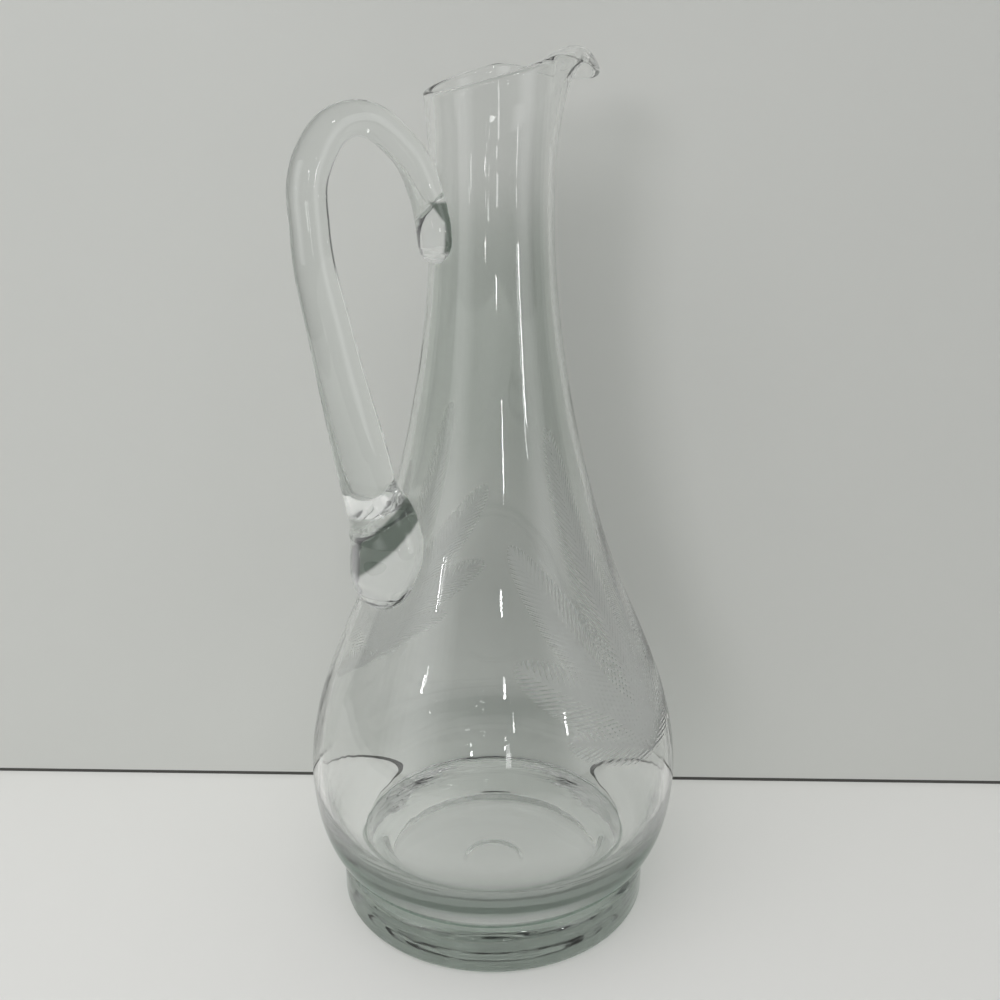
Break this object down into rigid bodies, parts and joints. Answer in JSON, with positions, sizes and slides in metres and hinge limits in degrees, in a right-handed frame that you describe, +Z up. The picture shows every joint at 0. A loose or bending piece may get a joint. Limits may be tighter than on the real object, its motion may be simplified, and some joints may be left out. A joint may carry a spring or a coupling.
{
  "type": "carafe",
  "caption": "Tall glass carafe with a round bulb, a long neck with a pulled pouring lip, a thick foot and a looped side handle, for serving drinks.",
  "frame": {"origin": "on the bottle's axis, at the flat underside of the foot", "axes": "+Z up along the bottle's axis, +X from the axis to the pouring lip, -X to the handle"},
  "size_m": [0.1367, 0.1344, 0.3009],
  "materials": {
    "glass_clear": "gloss",
    "glass_thick": "gloss",
    "glass_rod": "gloss"
  },
  "bodies": {
    "root": {"bottle": "glass_clear", "foot": "glass_thick", "handle": "glass_rod"}
  },
  "joints": []
}
